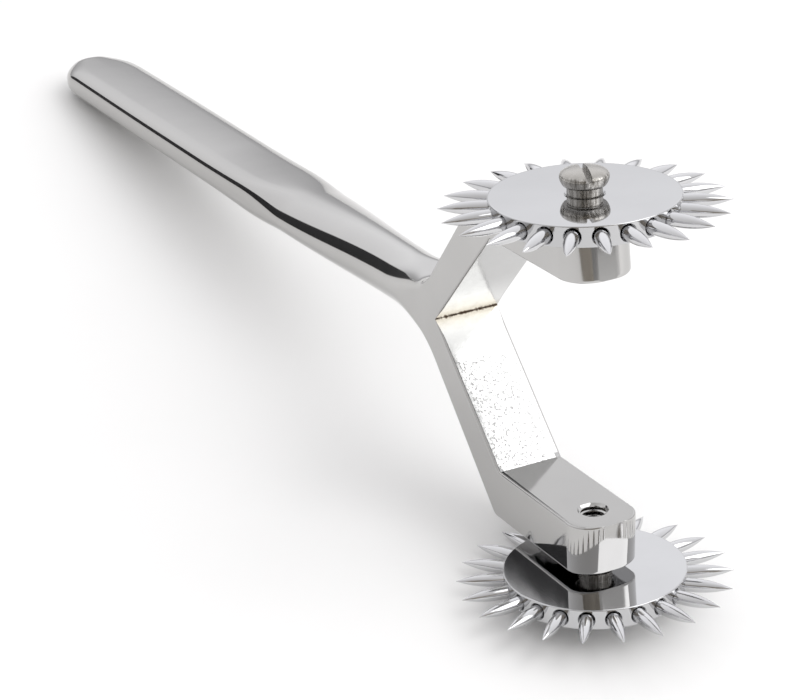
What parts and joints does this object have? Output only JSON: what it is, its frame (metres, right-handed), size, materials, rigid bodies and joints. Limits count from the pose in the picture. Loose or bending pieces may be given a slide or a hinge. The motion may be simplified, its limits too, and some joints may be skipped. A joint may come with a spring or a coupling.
{
  "type": "tracing wheel",
  "caption": "Tracing wheel with a flat polished handle, a forked head and free-spinning discs of pointed rim pins held outside the prongs by slotted shoulder screws.",
  "frame": {"origin": "centre of the whole tool's bounding box, on the handle's centre line", "axes": "+X along the handle from its tail towards the wheels; +Z along both wheels' axles, across the fork; +Y across the flat of the handle"},
  "size_m": [0.2084, 0.038, 0.0612],
  "materials": {
    "handle_chrome": "bright chrome on a polished forging, rough inside the fork",
    "disc_chrome": "mirror chrome",
    "pin_chrome": "mirror chrome",
    "screw_steel": "turned and lightly brushed"
  },
  "bodies": {
    "handle": {"yoke": "handle_chrome", "upper_screw": "screw_steel", "lower_screw": "screw_steel"},
    "upper_wheel": {"upper_disc": "disc_chrome", "upper_pin_01": "pin_chrome", "upper_pin_02": "pin_chrome", "upper_pin_03": "pin_chrome", "upper_pin_04": "pin_chrome", "upper_pin_05": "pin_chrome", "upper_pin_06": "pin_chrome", "upper_pin_07": "pin_chrome", "upper_pin_08": "pin_chrome", "upper_pin_09": "pin_chrome", "upper_pin_10": "pin_chrome", "upper_pin_11": "pin_chrome", "upper_pin_12": "pin_chrome", "upper_pin_13": "pin_chrome", "upper_pin_14": "pin_chrome", "upper_pin_15": "pin_chrome", "upper_pin_16": "pin_chrome", "upper_pin_17": "pin_chrome", "upper_pin_18": "pin_chrome", "upper_pin_19": "pin_chrome", "upper_pin_20": "pin_chrome", "upper_pin_21": "pin_chrome", "upper_pin_22": "pin_chrome"},
    "lower_wheel": {"lower_disc": "disc_chrome", "lower_pin_01": "pin_chrome", "lower_pin_02": "pin_chrome", "lower_pin_03": "pin_chrome", "lower_pin_04": "pin_chrome", "lower_pin_05": "pin_chrome", "lower_pin_06": "pin_chrome", "lower_pin_07": "pin_chrome", "lower_pin_08": "pin_chrome", "lower_pin_09": "pin_chrome", "lower_pin_10": "pin_chrome", "lower_pin_11": "pin_chrome", "lower_pin_12": "pin_chrome", "lower_pin_13": "pin_chrome", "lower_pin_14": "pin_chrome", "lower_pin_15": "pin_chrome", "lower_pin_16": "pin_chrome", "lower_pin_17": "pin_chrome", "lower_pin_18": "pin_chrome", "lower_pin_19": "pin_chrome", "lower_pin_20": "pin_chrome", "lower_pin_21": "pin_chrome", "lower_pin_22": "pin_chrome"}
  },
  "joints": [
    {"name": "upper_wheel_spin", "type": "hinge", "parent": "handle", "child": "upper_wheel", "pos_m": [0.08525, 0, 0.0258], "axis": [0, 0, 1], "continuous": true},
    {"name": "lower_wheel_spin", "type": "hinge", "parent": "handle", "child": "lower_wheel", "pos_m": [0.08525, 0, -0.027], "axis": [0, 0, 1], "continuous": true}
  ]
}
